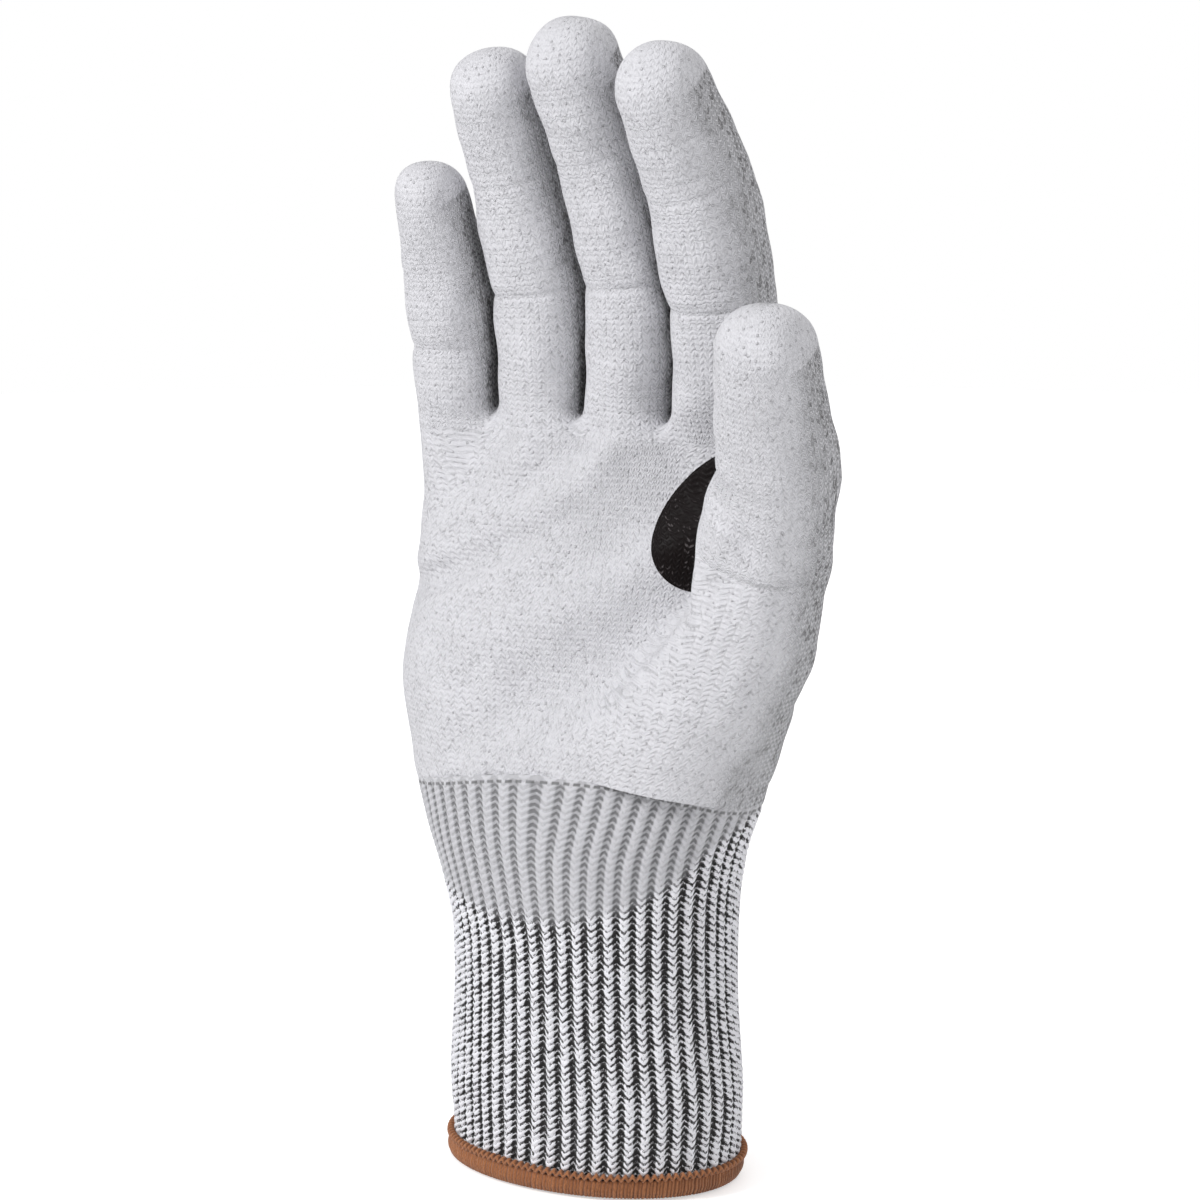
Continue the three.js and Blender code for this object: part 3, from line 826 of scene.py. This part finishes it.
# the hem's section, down the inside, round the bottom, up the outside and back inside the band:
# share of the way, distance outside the cuff's surface, height
HEM_PATH = np.array([
    [0, -2.2, 4.2], [0.22, -2.35, 1.3], [0.3, -2.0, 0.35], [0.36, -0.9, 0.12], [0.45, 0.55, 0.4],
    [0.6, 1.3, 1.9], [0.74, 1.1, HEM_TOP - 0.3], [0.8, 0.55, HEM_TOP], [0.86, 0.25, 2.4], [0.93, -1.6, 2.6],
]).T


def swept(name, columns, profile_at, groove_at=None):
    """A closed ring whose section, a loop of (out, height) pairs, may change round it."""
    share = np.arange(columns) / columns
    out, height = profile_at(share)
    count = out.shape[1]
    s = np.broadcast_to(share[:, None], out.shape)
    points = around(s, height, out)
    grid = np.arange(columns * count).reshape(columns, count)
    nxt, side = np.roll(grid, -1, axis=0), np.roll(grid, -1, axis=1)
    both = np.roll(nxt, -1, axis=1)
    faces = np.stack([grid, nxt, both, side], -1).reshape(-1, 4)
    u = np.broadcast_to(np.arange(columns)[:, None], out.shape).astype(float)
    v = np.broadcast_to(np.arange(count)[None, :] / count, out.shape)
    w = v + 1 / count
    uv = np.stack([np.stack([u, v], -1), np.stack([u + 1, v], -1), np.stack([u + 1, w], -1),
                   np.stack([u, w], -1)], 2).reshape(-1, 4, 2)
    values = {"groove": np.broadcast_to(groove_at(share), out.shape).ravel()} if groove_at else None
    return make_object(name, points.reshape(-1, 3), faces, None, uv, values)


def thread_wave(share, count, seed):
    """Height of a row of threads side by side, with slightly uneven widths."""
    slow = 0.16 * np.sin(2 * math.pi * 31 * share + seed)
    wobble = slow + 0.12 * np.sin(2 * math.pi * 83 * share + 2 * seed)
    return np.abs(np.cos(math.pi * (share * count + wobble)))


def hem_profile(share):
    """Threads wrapped over the edge of the cuff, outside, under and inside."""
    t = np.linspace(0, 1, 26, endpoint=False)
    out_path, up_path = np.interp(t, HEM_PATH[0], HEM_PATH[1]), np.interp(t, HEM_PATH[0], HEM_PATH[2])
    slant = 0.35 * (up_path / HEM_TOP)
    wave = thread_wave(share[:, None] + slant / THREADS, THREADS, 1.0)
    round_the_edge = smoothstep(0.9, 0.8, t)
    out = out_path + 0.4 * (wave ** 0.7 - 0.6) * round_the_edge * np.where(out_path < -1.2, -1, 1)
    wander = 0.16 * np.sin(2 * math.pi * 5 * share) + 0.1 * np.sin(2 * math.pi * 17 * share)
    height = up_path + wander[:, None] * smoothstep(1, 4, up_path)
    # the threads' ends at the bottom edge are uneven
    return out, np.maximum(height - 0.1 * (wave - 0.5) * (up_path < 1), 0.02)


# 1 in the grooves between the threads, which the hem thread material darkens as painted shade
def hem_grooves(share):
    return smoothstep(0.75, 0.2, thread_wave(share[:, None], THREADS, 1.0))


CHAIN_STITCHES, PER_STITCH = 118, 10
# the chain's middle: distance outside the cuff's surface, and height
CHAIN_OUT, CHAIN_HIGH = 1.05, 5.15
CHAIN_TURN = np.linspace(0, 2 * math.pi, 14, endpoint=False)[None, :]


def chain_plait(share):
    """1 on the crown of the nearer of two plies that cross over each other."""
    run, lean = (share * CHAIN_STITCHES)[:, None], 0.28 * np.cos(CHAIN_TURN)
    return np.maximum(np.cos(2 * math.pi * (run + lean)), np.cos(2 * math.pi * (run - lean + 0.5)))


def chain_profile(share):
    """The looper's chain, along the top of the overlock."""
    r = 0.62 + 0.24 * chain_plait(share)
    swing = 0.12 * np.sin(2 * math.pi * share * CHAIN_STITCHES) + 0.12 * np.sin(2 * math.pi * 5 * share)
    return CHAIN_OUT + r * np.sin(CHAIN_TURN), CHAIN_HIGH + swing[:, None] - r * 0.95 * np.cos(CHAIN_TURN)


# 1 in the grooves between the chain's plies, which the hem thread material darkens as painted shade
def chain_grooves(share):
    return smoothstep(0.6, -0.2, chain_plait(share))


hem_tape = swept("hem_overlock", THREADS * PER_THREAD, hem_profile, hem_grooves)
hem_braid = swept("hem_chain_stitch", CHAIN_STITCHES * PER_STITCH, chain_profile, chain_grooves)
for piece, node in ((hem_tape, "hem_binding"), (hem_braid, "hem_chain")):
    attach(piece, "cuff")
    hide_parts(node)

# ---------- elastic yarns laid in the rib

YARN_TURNS, YARN_RADIUS, YARN_OUT = 150, 0.34, -1.62
YARN_FOLDS = [LOWER_FOLD] * 3 + [UPPER_FOLD] * 2


def yarn_ring(node):
    low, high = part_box(node)
    height = (low.z + high.z) / 2 / MM

    def profile(share):
        turn = np.linspace(0, 2 * math.pi, 8, endpoint=False)[None, :]
        twist = 0.06 * np.cos(2 * (turn - math.pi * YARN_TURNS * share[:, None]))
        r = YARN_RADIUS + twist
        return YARN_OUT + r * np.sin(turn), height - r * np.cos(turn)

    made = swept(f"laid_in_{node}", YARN_TURNS * 6, profile)
    bend_at_wrist(made)
    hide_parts(node)
    return made


yarn_rings = [yarn_ring(f"elastic_yarn_{k + 1}") for k, fold in enumerate(YARN_FOLDS)]

# ---------- the patch in the thumb crotch

PATCH_AT, PATCH_HALF = (36.5, -7.0, 146.2), (16.6, 14.0, 14.8)
PATCH_RISE, PATCH_THICK = 0.6, 0.5


def patch_reach(p):
    """Below 1 inside the patch: round, and cut off at the valley between palm and thumb."""
    x, y, z = ((p - PATCH_AT) / PATCH_HALF).T
    d = parts_distance(p)
    valley = 1 + (d["palm"] - d["thumb"] - 6.5) / 8
    return np.maximum(np.sqrt(x * x + y * y + z * z - 0.8 * x * z), valley)


reach = patch_reach(points)
chosen = (reach[quads].min(1) < 1.1) & ~on_thumb
p, f, n, reach_at = used_only(points, quads[chosen], normals, reach)
rise = PATCH_RISE * smoothstep(1.0, 0.88, reach_at) - 0.3 * smoothstep(0.98, 1.06, reach_at)
both, faces, corner, uv = shell(p + n * rise[:, None], f, n, hand_uv[chosen], PATCH_THICK)
patch = make_object("crotch_patch_pad", both, faces, None, uv, {"edge": np.concatenate([reach_at, reach_at])})
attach(patch, "palm")
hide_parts("crotch_patch")

# ---------- materials


class Nodes:
    """A material and short ways to add nodes to it."""

    def __init__(self, name):
        self.material = bpy.data.materials.new(name)
        self.material.use_nodes = True
        self.tree = self.material.node_tree
        self.shader = self.tree.nodes["Principled BSDF"]

    def put(self, socket, value):
        if isinstance(value, bpy.types.NodeSocket):
            self.tree.links.new(value, socket)
        elif value is not None:
            socket.default_value = value

    def add(self, kind, inputs=(), out=0, **settings):
        node = self.tree.nodes.new(kind)
        for key, value in settings.items():
            setattr(node, key, value)
        for key, value in dict(inputs).items():
            self.put(node.inputs[key], value)
        return node.outputs[out]

    def math(self, operation, *values, clamp=False):
        return self.add("ShaderNodeMath", dict(enumerate(values)), operation=operation, use_clamp=clamp)

    def times(self, a, b):
        return self.math("MULTIPLY", a, b)

    def plus(self, a, b):
        return self.math("ADD", a, b)

    def minus(self, a, b):
        return self.math("SUBTRACT", a, b)

    def apart(self, a, b):
        return self.math("ABSOLUTE", self.minus(a, b))

    def wave(self, turns):
        return self.math("COSINE", self.times(turns, 2 * math.pi))

    def ramp(self, value, low, high, new_low=0.0, new_high=1.0):
        """value moved from low..high to new_low..new_high, with soft ends."""
        return self.add("ShaderNodeMapRange", {0: value, 1: low, 2: high, 3: new_low, 4: new_high},
                        interpolation_type="SMOOTHSTEP")

    def mix(self, share, a, b):
        return self.add("ShaderNodeMix", {0: share, 6: a, 7: b}, out=2, data_type="RGBA")

    def value(self, name):
        return self.add("ShaderNodeAttribute", out=2, attribute_name=name)

    def uv(self):
        return self.add("ShaderNodeUVMap", uv_map="Knit")

    def parts(self, vector):
        node = self.tree.nodes.new("ShaderNodeSeparateXYZ")
        self.put(node.inputs[0], vector)
        return node.outputs[0], node.outputs[1]

    def joined(self, x, y, z=0.0):
        return self.add("ShaderNodeCombineXYZ", {0: x, 1: y, 2: z})

    def noise(self, vector, scale, detail=2.0, rough=0.5):
        return self.add("ShaderNodeTexNoise",
                        {"Vector": vector, "Scale": scale, "Detail": detail, "Roughness": rough})

    def random(self, vector):
        return self.add("ShaderNodeTexWhiteNoise", {0: vector}, noise_dimensions="3D")

    def place(self):
        return self.add("ShaderNodeTexCoord", out=3)

    def finish(self, colour, roughness, height, distance, strength=1.0, **fixed):
        self.put(self.shader.inputs["Base Color"], colour)
        self.put(self.shader.inputs["Roughness"], roughness)
        if height is not None:
            bump = self.add("ShaderNodeBump", {"Height": height, "Distance": distance, "Strength": strength})
            self.put(self.shader.inputs["Normal"], bump)
        for key, value in fixed.items():
            self.shader.inputs[key.replace("_", " ")].default_value = value
        return self.material


def grey(level, tint=(1.0, 1.0, 1.0)):
    """A linear colour from an sRGB level of 0 to 255."""
    s = level / 255
    linear = s / 12.92 if s < 0.04045 else ((s + 0.055) / 1.055) ** 2.4
    return (linear * tint[0], linear * tint[1], linear * tint[2], 1.0)


COOL = (0.985, 0.98, 1.03)


def jersey(n, u, v, slope=0.9):
    """Height of plain knit, columns of nested Vs, and the course, whose whole part numbers the stitch."""
    off = n.apart(n.math("FRACT", u), 0.5)
    climb = n.minus(v, n.times(off, slope * 1.4))
    leg = n.ramp(n.wave(climb), -0.9, 0.9)
    edge = n.ramp(off, 0.3, 0.5, 1.0, 0.0)
    middle = n.ramp(off, 0.0, 0.12, 0.55, 1.0)
    height = n.times(leg, n.times(edge, middle))
    return height, climb


def coated_knit():
    n = Nodes("coated knit")
    u, v = n.parts(n.uv())
    place = n.place()
    coat_at = n.value("coat")
    height, climb = jersey(n, u, v)
    fleck = n.random(n.joined(n.math("FLOOR", n.times(u, 2.0)), n.math("FLOOR", climb)))
    loose = n.minus(fleck, 0.5)
    mottle = n.noise(place, 1500.0, 3.0, 0.7)
    patchy = n.noise(place, 160.0, 2.0)
    gaps = n.ramp(height, 0.0, 0.4, 1.0, 0.0)
    # bare knit: white and charcoal plies, in short runs along the yarn
    run = n.noise(n.joined(n.times(u, 1.3), n.times(climb, 2.4)), 4.2, 2.0, 0.75)
    dark = n.ramp(n.plus(run, n.times(loose, 0.3)), 0.34, 0.45, 1.0, 0.0)
    shade = n.mix(dark, grey(236, COOL), grey(88, (1.0, 0.95, 0.96)))
    # painted shade in the gaps between the stitches of the bare knit
    bare = n.mix(n.times(gaps, 0.6), shade, grey(60))
    # painted shade: the knit is darkened on the sides between the fingers
    between = n.value("between")
    bare = n.mix(n.times(between, 0.8), bare, grey(40))
    # the coating: pale, with painted shade in the gaps between the stitches, varied per stitch and least at
    # the very tips
    shown = n.ramp(coat_at, 1.0, 2.0, 1.0, 0.5)
    painted_gap_shade = n.times(gaps, n.ramp(fleck, 0.35, 0.95, 0.03, 0.5))
    painted_gap_shade = n.times(painted_gap_shade, n.times(shown, n.ramp(mottle, 0.35, 0.6, 0.35, 1.0)))
    pale = n.mix(n.ramp(patchy, 0.35, 0.65), grey(219, COOL), grey(223, COOL))
    coat = n.mix(painted_gap_shade, pale, grey(148, COOL))
    # it thins out round the sides, so the yarns show through more and more
    cover = n.plus(coat_at, n.times(n.minus(mottle, 0.5), 0.7))
    cover = n.plus(cover, n.times(loose, 0.3))
    # the painted shade between the fingers also thins the coating there, so more dark knit shows
    cover = n.minus(cover, n.times(between, 0.35))
    cover = n.ramp(cover, 0.05, 0.92, 0.0, 0.97)
    colour = n.mix(cover, bare, coat)
    grain = n.noise(place, 2600.0, 2.0)
    nubs = n.ramp(n.add("ShaderNodeTexVoronoi", {"Vector": place, "Scale": 720.0}), 0.06, 0.27, 1.0, 0.0)
    course = n.wave(n.plus(v, mottle))
    soft = n.times(height, n.times(shown, n.ramp(coat_at, 0.5, 1.0, 1.5, 0.45)))
    soft = n.plus(soft, n.times(course, 0.12))
    soft = n.plus(soft, n.times(n.plus(grain, mottle), 0.35))
    soft = n.plus(soft, n.times(nubs, 1.0))
    rough_knit = n.plus(height, n.times(mottle, 0.6))
    top = n.add("ShaderNodeMix", {0: cover, 2: rough_knit, 3: soft}, data_type="FLOAT")
    roughness = n.ramp(cover, 0.0, 1.0, 0.9, 0.62)
    return n.finish(colour, roughness, top, 0.00045, 0.9, Specular_IOR_Level=0.3, Sheen_Weight=0.15)


def rib_knit():
    n = Nodes("rib knit")
    u, v = n.parts(n.uv())
    place = n.place()
    off = n.apart(n.math("FRACT", u), 0.5)
    raised = n.ramp(n.value("raised"), 0.1, 0.75)
    # one zigzag: a V on each raised column, and an arch on each sunk one
    uneven = n.noise(n.joined(n.times(u, 2.0), v), 1.1, 2.0, 0.6)
    climb = n.minus(v, n.times(off, 1.9))
    climb = n.plus(climb, n.times(n.minus(uneven, 0.5), 0.55))
    leg = n.ramp(n.wave(climb), -1.0, 1.0)
    stitch = n.random(n.joined(n.math("FLOOR", n.times(u, 2.0)), n.math("FLOOR", climb)))
    hairs = n.noise(n.joined(n.times(u, 3.6), n.times(climb, 2.6)), 2.8, 3.0, 0.75)
    # raised columns come out mostly white and sunk ones mostly charcoal: white and charcoal plies in random
    # runs, plus painted shade in the sunk columns and between the legs of the Vs
    level = n.plus(n.times(leg, 0.5), n.times(hairs, 1.7))
    level = n.plus(level, n.times(n.minus(stitch, 0.5), 0.3))
    level = n.plus(level, n.times(raised, 0.5))
    white = n.ramp(level, 1.3, 1.5)
    bare = n.mix(white, grey(44, (1.0, 0.93, 0.95)), grey(252, COOL))
    # the thin coat over the rib is a veil, and the yarns show through it
    thin = n.times(n.minus(n.noise(place, 700.0, 3.0, 0.7), 0.5), 0.5)
    cover = n.ramp(n.plus(n.value("coat"), thin), 0.1, 0.95, 0.0, 0.86)
    # painted shade: the coat over the rib is darker in the sunk columns, at the troughs of the legs
    shade = n.mix(n.times(n.minus(1.0, raised), n.ramp(leg, 0.2, 0.8, 1.0, 0.35)),
                  grey(203, COOL), grey(134, COOL))
    coat = n.mix(n.value("fade"), grey(208, COOL), shade)
    colour = n.mix(cover, bare, coat)
    # a dashed line runs round just below the rib's upper edge
    line = n.ramp(n.apart(n.value("below"), 0.9), 0.15, 0.5, 1.0, 0.0)
    dash = n.ramp(n.apart(n.math("FRACT", n.times(u, 2.0)), 0.5), 0.28, 0.36, 1.0, 0.0)
    colour = n.mix(n.times(n.times(line, dash), 0.75), colour, grey(96))
    height = n.plus(n.times(leg, 0.8), n.times(hairs, 0.8))
    roughness = n.ramp(cover, 0.0, 0.8, 0.92, 0.66)
    return n.finish(colour, roughness, height, 0.0003, 0.8, Specular_IOR_Level=0.25, Sheen_Weight=0.2)


def hem_thread():
    n = Nodes("hem thread")
    u, v = n.parts(n.uv())
    place = n.place()
    strand = n.random(n.joined(n.math("FLOOR", n.times(u, 1 / PER_THREAD)), 3.0))
    groove = n.value("groove")
    twist = n.noise(n.joined(n.times(u, 0.8), n.times(v, 16.0)), 1.6, 3.0, 0.65)
    colour = n.mix(n.ramp(twist, 0.3, 0.7), (0.27, 0.093, 0.031, 1), (0.56, 0.225, 0.088, 1))
    colour = n.mix(n.ramp(strand, 0.0, 1.0, 0.0, 0.4), colour, (0.3, 0.103, 0.037, 1))
    # painted shade in the grooves between the threads and between the chain's plies
    colour = n.mix(n.times(groove, 0.65), colour, (0.05, 0.017, 0.007, 1))
    fuzz = n.noise(place, 4200.0, 3.0, 0.7)
    colour = n.mix(n.ramp(fuzz, 0.62, 0.8, 0.0, 0.3), colour, (0.5, 0.26, 0.15, 1))
    height = n.plus(twist, n.times(fuzz, 0.6))
    return n.finish(colour, n.ramp(twist, 0.2, 0.8, 0.58, 0.76), height, 0.00025, 0.7,
                    Specular_IOR_Level=0.35, Sheen_Weight=0.25)


def nitrile():
    n = Nodes("nitrile patch")
    u, v = n.parts(n.uv())
    place = n.place()
    height, _ = jersey(n, u, v)
    glint_and_gloss_patches = n.noise(place, 330.0, 3.0, 0.6)
    # painted highlights: the tops of the knit dots are lighter, in patches
    show = n.times(n.ramp(height, 0.45, 0.8), n.ramp(glint_and_gloss_patches, 0.52, 0.6))
    show = n.times(show, n.ramp(n.noise(place, 1100.0, 2.0), 0.42, 0.56))
    colour = n.mix(show, (0.005, 0.0025, 0.0025, 1), (0.085, 0.075, 0.077, 1))
    top = n.plus(n.times(height, 0.8), n.times(n.noise(place, 1500.0, 2.0), 0.5))
    return n.finish(colour, n.ramp(glint_and_gloss_patches, 0.35, 0.65, 0.4, 0.55), top, 0.0003, 0.6, Specular_IOR_Level=0.1)


def elastic():
    n = Nodes("elastic yarn")
    u, v = n.parts(n.uv())
    turn = n.plus(n.times(u, 1.05), n.times(v, 2 * math.pi))
    wrap = n.ramp(n.math("SINE", turn), -1, 1)
    fuzz = n.noise(n.place(), 5200.0, 3.0, 0.7)
    colour = n.mix(wrap, grey(168, COOL), grey(226, COOL))
    colour = n.mix(n.ramp(fuzz, 0.55, 0.75, 0.0, 0.5), colour, grey(110))
    roughness = n.ramp(fuzz, 0.3, 0.7, 0.7, 0.9)
    return n.finish(colour, roughness, n.plus(wrap, fuzz), 0.0002, 0.7, Sheen_Weight=0.2)


def give(material, *objects):
    for o in objects:
        o.data.materials.clear()
        o.data.materials.append(material)


give(coated_knit(), *HAND_PIECES)
give(rib_knit(), lower_rib, upper_rib)
give(hem_thread(), hem_tape, hem_braid)
give(nitrile(), patch)
give(elastic(), *yarn_rings)

# ---------- floor, light and camera

FLOOR_RADIUS, FLOOR_GAP = 1.5, 0.0002
bpy.ops.mesh.primitive_circle_add(vertices=96, radius=FLOOR_RADIUS, fill_type="NGON",
                                  location=(0, 0, cad_box[0].z - FLOOR_GAP))
floor = bpy.context.object
floor.name = "floor"
f = Nodes("floor")
paper = f.noise(f.place(), 40.0, 3.0)
# the floor looks whiter than the light it throws back on the glove
f.put(f.shader.inputs["Emission Color"], (1, 1, 1, 1))
f.put(f.shader.inputs["Emission Strength"], f.times(f.add("ShaderNodeLightPath"), 0.5))
give(f.finish(f.mix(paper, (0.86, 0.86, 0.86, 1), (0.9, 0.9, 0.9, 1)), 0.95, None, 0), floor)

# the world lights the glove softly and is seen as white
SKY_LIGHT, SKY_SEEN = 0.4, 1.0
world = bpy.data.worlds.new("studio")
world.use_nodes = True
sky = world.node_tree.nodes["Background"]
sky.inputs["Color"].default_value = (1, 1, 1, 1)
seen = world.node_tree.nodes.new("ShaderNodeLightPath")
brightness = world.node_tree.nodes.new("ShaderNodeMapRange")
brightness.inputs["To Min"].default_value, brightness.inputs["To Max"].default_value = SKY_LIGHT, SKY_SEEN
world.node_tree.links.new(seen.outputs["Is Camera Ray"], brightness.inputs["Value"])
world.node_tree.links.new(brightness.outputs[0], sky.inputs["Strength"])
bpy.context.scene.world = world
bpy.context.scene.view_settings.view_transform = "Standard"


def area_light(name, place, size, power, aim=(0, 0, 0.13)):
    data = bpy.data.lights.new(name, "AREA")
    data.shape, data.size, data.size_y, data.energy = "RECTANGLE", size[0], size[1], power
    made = bpy.data.objects.new(name, data)
    made.location = place
    made.rotation_mode = "QUATERNION"
    made.rotation_quaternion = (Vector(aim) - Vector(place)).to_track_quat("-Z", "Y")
    bpy.context.scene.collection.objects.link(made)


area_light("top", (0.1, 0.1, 2.0), (3.6, 3.6), 12.0, (0.1, 0.1, 0))
area_light("key", (-0.9, -1.15, 1.05), (0.5, 0.5), 17.3)
area_light("fill", (1.3, -0.9, 0.5), (0.9, 1.1), 5.5)
area_light("rim", (-0.2, 1.3, 0.9), (1.2, 0.8), 4.0)

AZIMUTH, ELEVATION = math.radians(30), math.radians(10)
TARGET, DISTANCE = Vector((0, 0, 0.125)), 0.75
camera_data = bpy.data.cameras.new("camera")
camera_data.sensor_width = 36.0
camera_data.lens = 105.2
camera_data.shift_x = 0.0025
camera = bpy.data.objects.new("camera", camera_data)
flat = math.cos(ELEVATION)
back = Vector((math.sin(AZIMUTH) * flat, -math.cos(AZIMUTH) * flat, math.sin(ELEVATION)))
camera.location = TARGET + back * DISTANCE
camera.rotation_mode = "QUATERNION"
camera.rotation_quaternion = (-back).to_track_quat("-Z", "Y")
bpy.context.scene.collection.objects.link(camera)
bpy.context.scene.camera = camera
